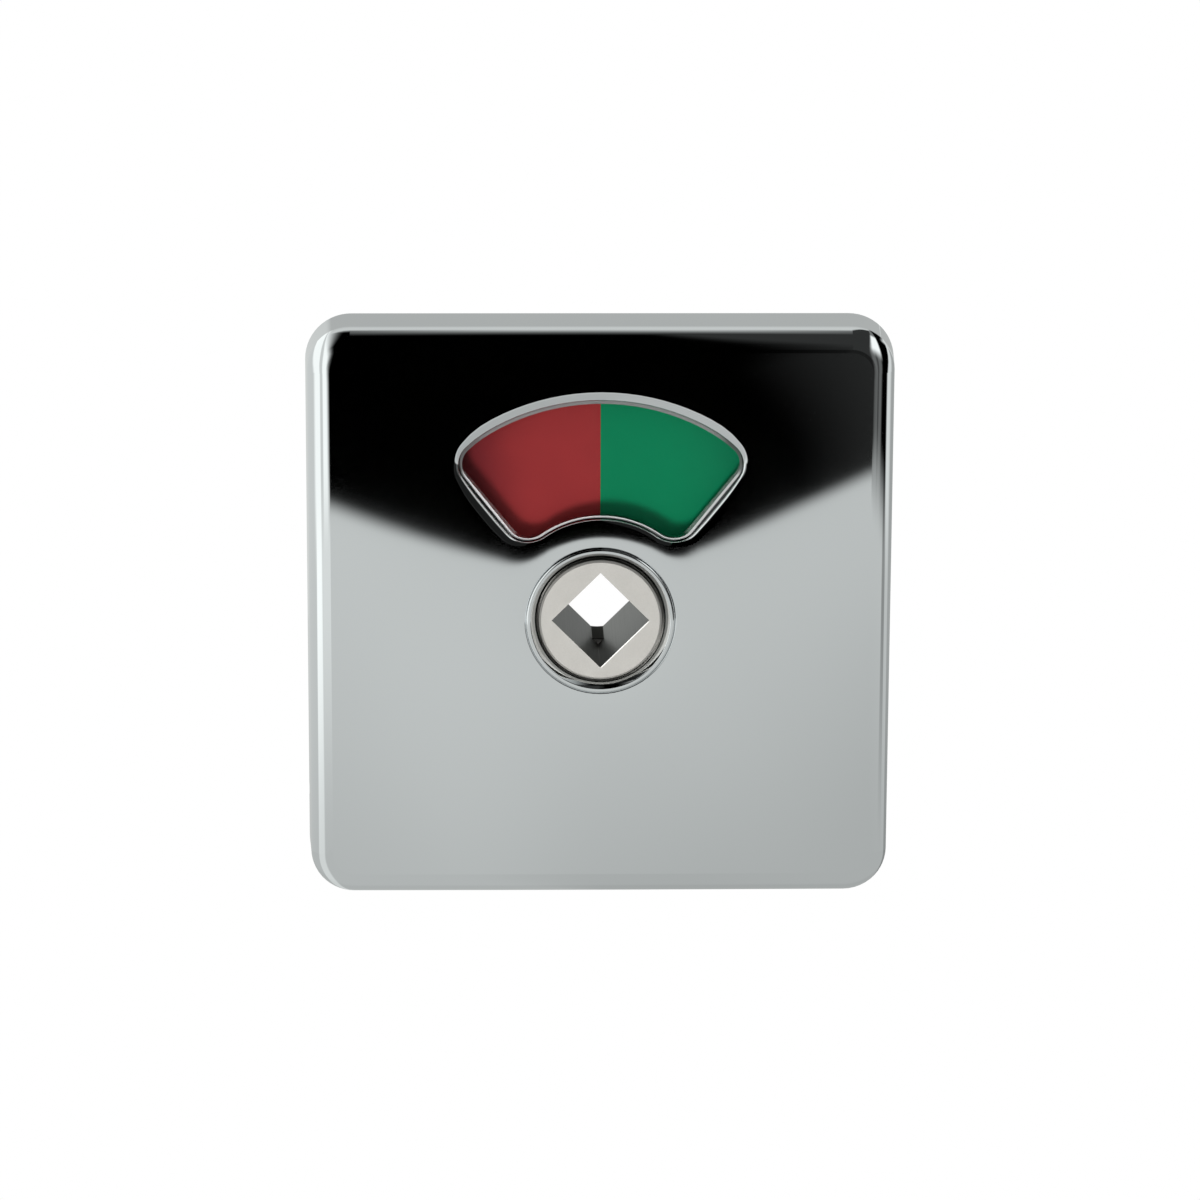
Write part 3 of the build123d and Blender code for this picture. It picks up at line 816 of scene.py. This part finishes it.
shape = bmesh.new()
layer = shape.loops.layers.float_vector.new("exact_normal")
spokes = [Vector((cos(k * tau / RING_STEPS), 0, sin(k * tau / RING_STEPS))) for k in range(RING_STEPS)]
sweep(shape, layer, [Vector((0, 0, 0))] * RING_STEPS, spokes, ring_profile)
ring_mesh = bpy.data.meshes.new("hub_ring")
shape.to_mesh(ring_mesh)
print("ring has open edges", sum(len(e.link_faces) != 2 for e in shape.edges))
shape.free()
exact = np.empty(len(ring_mesh.loops) * 3)
ring_mesh.attributes["exact_normal"].data.foreach_get("vector", exact)
ring_mesh.attributes.remove(ring_mesh.attributes["exact_normal"])
ring_mesh.polygons.foreach_set("use_smooth", [True] * len(ring_mesh.polygons))
ring_mesh.normals_split_custom_set(exact.reshape(-1, 3).tolist())
ring_mesh.materials.append(chrome)
hub_ring = bpy.data.objects.new("hub_ring", ring_mesh)
bpy.context.scene.collection.objects.link(hub_ring)
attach(hub_ring, "housing")
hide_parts("bezel")

# %% [markdown]
# What repeats is made with Geometry Nodes. A group is a recipe with named lengths as its inputs, built
# here with the same `Tree`. `grown` puts the group on an empty object, sets the lengths by the
# identifiers of their sockets, and takes the result out as a plain mesh.

# %% Grow a piece from a Geometry Nodes group
def group_of(name, lengths):
    """An empty group with these inputs, its tree, and a wire from each input."""
    group = bpy.data.node_groups.new(name, "GeometryNodeTree")
    group.interface.new_socket("Geometry", in_out="OUTPUT", socket_type="NodeSocketGeometry")
    for label in lengths:
        group.interface.new_socket(label, in_out="INPUT", socket_type="NodeSocketFloat")
    tree = Tree(group)
    source = tree.add("NodeGroupInput").socket.node
    return group, tree, {label: Wire(tree, source.outputs[label]) for label in lengths}


def end_group(tree, instances, material):
    """Realize the instances, give them their material and hand them out."""
    real = tree.add("GeometryNodeRealizeInstances", {}, {0: instances})
    done = tree.add("GeometryNodeSetMaterial", {}, {"Geometry": real, "Material": material})
    tree.add("NodeGroupOutput", {}, {"Geometry": done})


def grown(name, group, lengths, body):
    """The plain mesh that a group makes from these lengths, riding on a body."""
    holder = bpy.data.objects.new("holder", bpy.data.meshes.new("holder"))
    bpy.context.scene.collection.objects.link(holder)
    modifier = holder.modifiers.new("grow", "NODES")
    modifier.node_group = group
    for item in group.interface.items_tree:
        if item.in_out == "INPUT":
            modifier[item.identifier] = lengths[item.name]
    ready = holder.evaluated_get(bpy.context.evaluated_depsgraph_get())
    mesh = bpy.data.meshes.new_from_object(ready)
    mesh.name = name
    holder.modifiers.clear()
    bpy.data.objects.remove(holder)
    piece = bpy.data.objects.new(name, mesh)
    bpy.context.scene.collection.objects.link(piece)
    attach(piece, body)
    print(name, "has", len(mesh.polygons), "faces")
    return piece


# %% [markdown]
# Four countersunk screws hold the back plate. Each is a cone and a shank with a cross cut in its head.
# They stand on the corners of a square, and nobody stops them all at the same angle, so each is turned
# by a random amount, with a fixed seed.

# %% Screws of the back plate
HEAD = 4.8 * MM
SHANK = 2.4 * MM
CROSS = 2.6 * MM
CROSS_WIDTH = 0.62 * MM
CROSS_DEPTH = 1.0 * MM
HEAD_SIDES = 48
SHANK_SIDES = 32
SCREW_SEED = 4

screws_low, screws_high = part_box("back_plate_screws")
lengths = {"Spacing": screws_high.x - screws_low.x - HEAD, "Head": HEAD, "Shank": SHANK,
           "Length": screws_high.y - screws_low.y}
group, tree, size = group_of("screws", lengths)
cone = size["Head"] / 2 - size["Shank"] / 2
head = tree.add("GeometryNodeMeshCone", {}, {
    "Vertices": HEAD_SIDES, "Radius Top": size["Head"] / 2, "Radius Bottom": size["Shank"] / 2,
    "Depth": cone})
down = tree.add("ShaderNodeCombineXYZ", {}, {"Z": cone * -1})
head = tree.add("GeometryNodeTransform", {}, {"Geometry": head, "Translation": down})
shank = tree.add("GeometryNodeMeshCylinder", {}, {
    "Vertices": SHANK_SIDES, "Radius": size["Shank"] / 2, "Depth": size["Length"] - cone / 2})
middle = tree.add("ShaderNodeCombineXYZ", {}, {"Z": (size["Length"] + cone / 2) * -0.5})
shank = tree.add("GeometryNodeTransform", {}, {"Geometry": shank, "Translation": middle})
screw = tree.add("GeometryNodeMeshBoolean", {"operation": "UNION", "solver": "EXACT"}, {"Mesh 2": head})
tree.links.new(shank.socket, screw.socket.node.inputs["Mesh 2"])
for arm in ((CROSS, CROSS_WIDTH, 2 * CROSS_DEPTH), (CROSS_WIDTH, CROSS, 2 * CROSS_DEPTH)):
    bar = tree.add("GeometryNodeMeshCube", {}, {"Size": arm})
    cut = {"Mesh 1": screw, "Mesh 2": bar}
    screw = tree.add("GeometryNodeMeshBoolean", {"operation": "DIFFERENCE", "solver": "EXACT"}, cut)
square = tree.add("GeometryNodeMeshGrid", {}, {"Size X": size["Spacing"], "Size Y": size["Spacing"],
                                               "Vertices X": 2, "Vertices Y": 2})
chance = tree.add("FunctionNodeRandomValue", {"data_type": "FLOAT"}, {"Seed": SCREW_SEED}, 1)
turned_by = tree.add("ShaderNodeCombineXYZ", {}, {"Z": chance * tau})
screws = tree.add("GeometryNodeInstanceOnPoints", {}, {"Points": square, "Instance": screw,
                                                       "Rotation": turned_by})
screws = tree.add("GeometryNodeTransform", {}, {"Geometry": screws, "Rotation": (-pi / 2, 0, 0),
                                                "Translation": (0, screws_high.y, cover_middle)})
end_group(tree, screws, zinc_screw)
screws = grown("screws", group, lengths, "housing")
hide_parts("back_plate_screws")

# %% [markdown]
# The pillars are tapped for the bolts that come through the door. A thread is a helix, and the eye
# only sees the ridges that it leaves in the hole, so a thin ridge is swept along a spiral.

# %% Threads in the pillars
PITCH = 0.7 * MM
HOLE = 1.65 * MM
RIDGE = 0.16 * MM
THREAD_TURNS = 12
TURN_STEPS = 24
RIDGE_SIDES = 6

pillar_low, pillar_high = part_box("fixing_pillar_right")
lengths = {"Centres": pillar_low.x + pillar_high.x, "Hole radius": HOLE, "Ridge": RIDGE, "Pitch": PITCH}
group, tree, size = group_of("threads", lengths)
spiral = tree.add("GeometryNodeCurveSpiral", {}, {
    "Resolution": TURN_STEPS, "Rotations": THREAD_TURNS, "Start Radius": size["Hole radius"],
    "End Radius": size["Hole radius"], "Height": size["Pitch"] * THREAD_TURNS})
ridge = tree.add("GeometryNodeCurvePrimitiveCircle", {}, {
    "Resolution": RIDGE_SIDES, "Radius": size["Ridge"]})
thread = tree.add("GeometryNodeCurveToMesh", {}, {
    "Curve": spiral, "Profile Curve": ridge, "Fill Caps": True})
first = tree.add("ShaderNodeCombineXYZ", {}, {"X": size["Centres"] * -0.5})
between = tree.add("ShaderNodeCombineXYZ", {}, {"X": size["Centres"]})
pair = tree.add("GeometryNodeMeshLine", {}, {"Count": 2, "Start Location": first, "Offset": between})
threads = tree.add("GeometryNodeInstanceOnPoints", {}, {"Points": pair, "Instance": thread})
start = (0, pillar_high.y - 2 * RIDGE - THREAD_TURNS * PITCH, 0)
threads = tree.add("GeometryNodeTransform", {}, {"Geometry": threads, "Rotation": (-pi / 2, 0, 0),
                                                 "Translation": start})
end_group(tree, threads, pillar_brass)
grown("pillar_threads", group, lengths, "housing")

# %% [markdown]
# The object hangs in a plain white studio. The floor lies well below it and is white to the camera,
# through Light Path's Is Camera Ray, so no more light is needed for a white picture. Mirrors don't see
# the floor: what they see is painted in the world.

# %% Floor
FLOOR_SIZE = 3.0
FLOOR_DROP = 0.60

floor_mesh = bpy.data.meshes.new("floor")
half = FLOOR_SIZE / 2
floor_mesh.from_pydata([(-half, -half, -FLOOR_DROP), (half, -half, -FLOOR_DROP), (half, half, -FLOOR_DROP),
                        (-half, half, -FLOOR_DROP)], [], [(0, 1, 2, 3)])
floor = bpy.data.objects.new("floor", floor_mesh)
bpy.context.scene.collection.objects.link(floor)
floor_material = bpy.data.materials.new("floor")
floor_material.use_nodes = True
tree = Tree(floor_material.node_tree)
camera_ray = tree.add("ShaderNodeLightPath")
pale = tree.add("ShaderNodeBsdfDiffuse", {}, {"Color": grey(0.8)})
white = tree.add("ShaderNodeEmission", {}, {"Color": grey(1.0), "Strength": 1.0})
both = tree.add("ShaderNodeMixShader", {}, {0: camera_ray, 1: pale, 2: white})
tree.add("ShaderNodeOutputMaterial", {}, {"Surface": both})
floor_mesh.materials.append(floor_material)
floor.visible_glossy = False

# %% [markdown]
# What the chrome mirrors is painted in the world by direction, as a studio is dressed with cards. It
# is easiest to lay out from the mirror's side. A mirror's normal lies halfway between the direction it
# shows and the direction to the camera, which is EYE, so `right` and `up` say how steeply a spot of
# the front must slope to show each direction. The flat front is at 0, 0, the left edge of the cover is
# all negative `right`, and its top edge all positive `up`.

# %% The world, seen from the mirror
EYE = (-0.0243, -0.9683, 0.2487)
NEARLY_NONE = 0.001

world = bpy.data.worlds.new("studio")
world.use_nodes = True
bpy.context.scene.world = world
tree = Tree(world.node_tree)
x, y, z = tree.axes(tree.add("ShaderNodeTexCoord"))
height = z.maths("ARCSINE") * (360 / tau)
facing = (-EYE[1] - y).maths("MAXIMUM", NEARLY_NONE)
right = (x + EYE[0]) / facing
up = (z + EYE[2]) / facing
left = right * -1
above = up.maths("MAXIMUM", 0.0)
aside = right.maths("ABSOLUTE")
steepness = (right * right + up * up) ** 0.5
print("directions take", len(tree.nodes), "nodes")

# %% [markdown]
# The lower part of the cover mirrors a pale table. It is a little brighter towards its far edge, and
# the rolled sides of the cover, which slope more, meet the lights and shades beside the table.

# %% The table
TABLE = 0.485
FAR_EDGE = -14.4

near_edge = 1 - (FAR_EDGE - height).rise(0.5, 3.5)
table = TABLE + 0.13 * height.rise(-18.5, -14.2) + 0.05 * left.rise(-0.004, 0.022)
table = table + left.between(0.43, 0.84, 0.05) * (0.22 + 0.32 * near_edge)
table = table + left.between(0.06, 0.40, 0.04) * 0.18 * near_edge
table = table - right.between(0.68, 0.98, 0.05) * 0.30 * near_edge - right.rise(1.45, 1.7) * 0.20
table = table - (up * -1).rise(0.6, 0.9) * 0.04

# %% [markdown]
# Above the table hangs a black card. Two white cards stand to its left, with a dark gap between them,
# and show as the bright streaks in the left edge of the cover. Slopes past SIDE_WALL belong to the
# straight side wall of the cover, which mirrors the bright room.

# %% Cards on the left
SIDE_WALL = (8.0, 14.0)
ROOM_LIGHT = 0.66

side_wall = steepness.rise(*SIDE_WALL)
starts = 0.05 + 0.47 * above.maths("MINIMUM", 0.5)
full = 0.15 + 0.73 * above
opened = ((left - starts) / (full - starts)).maths("MAXIMUM", 0.0) ** 1.3
gap = (left - 0.56 * above).between(0.31, 0.46, 0.03)
cards = 1.15 - 0.44 * gap - 0.46 * (left - above).rise(0.76, 1.12)
left_side = opened.rise(0.0, 1.0) * (cards * (1 - side_wall) + ROOM_LIGHT * side_wall)

# %% [markdown]
# To the right of the black card come a faint glow, a narrow white strip that widens towards the top
# corner of the cover, and a grey wall. All three lean, so they are measured across the lean.

# %% Strip and wall on the right
GLOW = 0.034
NARROW_LIGHT = 0.11
WIDE_LIGHT = 1.1
WALL_LIGHT = 0.80

strip = right - 0.44 * above
glow = (right + 0.55 * above.maths("MINIMUM", 0.0155)).rise(0.0125, 0.0195)
glow = GLOW * glow * (1 - 0.6 * steepness.between(0.03, 0.17, 0.015)) * (1 - strip.rise(0.42, 0.50))
tall = above.rise(0.2, 0.6)
narrow = strip.between(0.10, 0.41, 0.03) - 0.7 * strip.between(0.20, 0.27, 0.02)
wide = strip.between(0.13, 0.47, 0.06) * tall * (1 - 0.85 * above.rise(1.5, 2.3))
wall = right - 0.9 * above
grey_wall = wall.rise(0.80, 0.96) * WALL_LIGHT - wall.rise(1.2, 1.9) * 0.40
right_side = glow + NARROW_LIGHT * narrow * (1 - tall) + WIDE_LIGHT * wide + grey_wall

# %% [markdown]
# Far overhead is a grey ceiling, which the top edge of the cover mirrors. The black card hides it from
# the corners of the cover, and a dark beam from a part of the right one.

# %% Ceiling
CEILING = 0.68

ceiling = CEILING * above.rise(1.1, 2.8) - 0.20 * above.rise(3.0, 12.0)
ceiling = ceiling * (1 - aside.rise(0.02, 0.10) * (1 - above.rise(1.7, 2.9)))
share = right / above.maths("MAXIMUM", 0.01)
dark_from = 0.03 + 0.40 * above.rise(2.0, 6.0)
dark = share.rise(dark_from, dark_from + 0.1) * (1 - share.rise(0.85, 1.1))
ceiling = ceiling * (1 - dark * (1 - above.rise(6.0, 12.0)))

# %% [markdown]
# The halves meet above the table, whose far edge is sharp in the middle and soft aside. Light Path then
# sends each ray its own world: a glossy ray finds the painted studio, the camera finds plain white, and
# everything else a soft even light.

# %% Join the studio
TABLE_EDGE = -14.13
SOFT_LIGHT = 0.55
TINT = (0.97, 1.0, 0.985, 1)

on_left = left.rise(-0.002, 0.002)
high_view = (on_left * left_side + (1 - on_left) * right_side).maths("MAXIMUM", ceiling)
blur = 0.05 + 4.0 * aside.maths("MINIMUM", 0.14)
low = 1 - height.rise(TABLE_EDGE - blur, TABLE_EDGE + blur)
level = low * table + (1 - low) * high_view

mirrored = tree.add("ShaderNodeBackground", {}, {"Color": TINT, "Strength": level})
soft = tree.add("ShaderNodeBackground", {}, {"Color": grey(1.0), "Strength": SOFT_LIGHT})
white = tree.add("ShaderNodeBackground", {}, {"Color": grey(1.0), "Strength": 1.0})
path = tree.add("ShaderNodeLightPath").socket.node
camera_ray = Wire(tree, path.outputs["Is Camera Ray"])
glossy_ray = Wire(tree, path.outputs["Is Glossy Ray"])
through = Wire(tree, path.outputs["Is Transmission Ray"])
lit = tree.add("ShaderNodeMixShader", {}, {0: glossy_ray, 1: soft, 2: mirrored})
seen = camera_ray.maths("MAXIMUM", through)
both = tree.add("ShaderNodeMixShader", {}, {0: seen, 1: lit, 2: white})
tree.add("ShaderNodeOutputWorld", {}, {"Surface": both})
print("world has", len(tree.nodes), "nodes")

# %% [markdown]
# Three soft lamps light what isn't a mirror: one in front and below, one above, and one behind for the
# back plate. Chrome would show them as white squares, so they are hidden from glossy rays.

# %% Lamps
def soft_lamp(name, place, size, power):
    """A square lamp at this place that points at the object."""
    lamp = bpy.data.lights.new(name, "AREA")
    lamp.size = size
    lamp.energy = power
    made = bpy.data.objects.new(name, lamp)
    made.location = place
    made.rotation_euler = (-Vector(place)).to_track_quat("-Z", "Y").to_euler()
    made.visible_glossy = False
    bpy.context.scene.collection.objects.link(made)


soft_lamp("key", (-0.30, -0.85, -0.42), 0.25, 11.0)
soft_lamp("top", (0.3, -0.6, 0.9), 0.9, 4.0)
soft_lamp("behind", (0.2, 0.9, 0.7), 0.8, 6.0)
print("lamps", [lamp.name for lamp in bpy.data.lights])

# %% [markdown]
# The camera stands as the photographer's did: a long lens, a little to the left and above, looking down
# by 14 degrees. The values come from a fit to the outlines of the cover and of the hub.

# %% Camera
CAMERA_HEIGHT = radians(14.40)
CAMERA_AROUND = radians(-1.44)
CAMERA_ROLL = radians(0.25)
CAMERA_DISTANCE = 633.2 * MM
CAMERA_LENS = 157.9
SENSOR = 36.0
CLIP_START = 0.01
TARGET = Vector((0.15, 0.0, 0.37)) * MM

back_way = Vector((sin(CAMERA_AROUND) * cos(CAMERA_HEIGHT), -cos(CAMERA_AROUND) * cos(CAMERA_HEIGHT),
                   sin(CAMERA_HEIGHT)))
right_way = Vector((cos(CAMERA_AROUND), sin(CAMERA_AROUND), 0))
up_way = back_way.cross(right_way)
turned_right = right_way * cos(CAMERA_ROLL) + up_way * sin(CAMERA_ROLL)
turned_up = up_way * cos(CAMERA_ROLL) - right_way * sin(CAMERA_ROLL)
turn = Matrix((turned_right, turned_up, back_way)).transposed()

camera = bpy.data.cameras.new("camera")
camera.lens = CAMERA_LENS
camera.sensor_width = SENSOR
camera.clip_start = CLIP_START
eye = bpy.data.objects.new("camera", camera)
eye.matrix_world = Matrix.Translation(TARGET + CAMERA_DISTANCE * back_way) @ turn.to_4x4()
bpy.context.scene.collection.objects.link(eye)
bpy.context.scene.camera = eye
bpy.context.scene.view_settings.view_transform = "Standard"
print("camera at", [round(v, 4) for v in eye.matrix_world.translation])
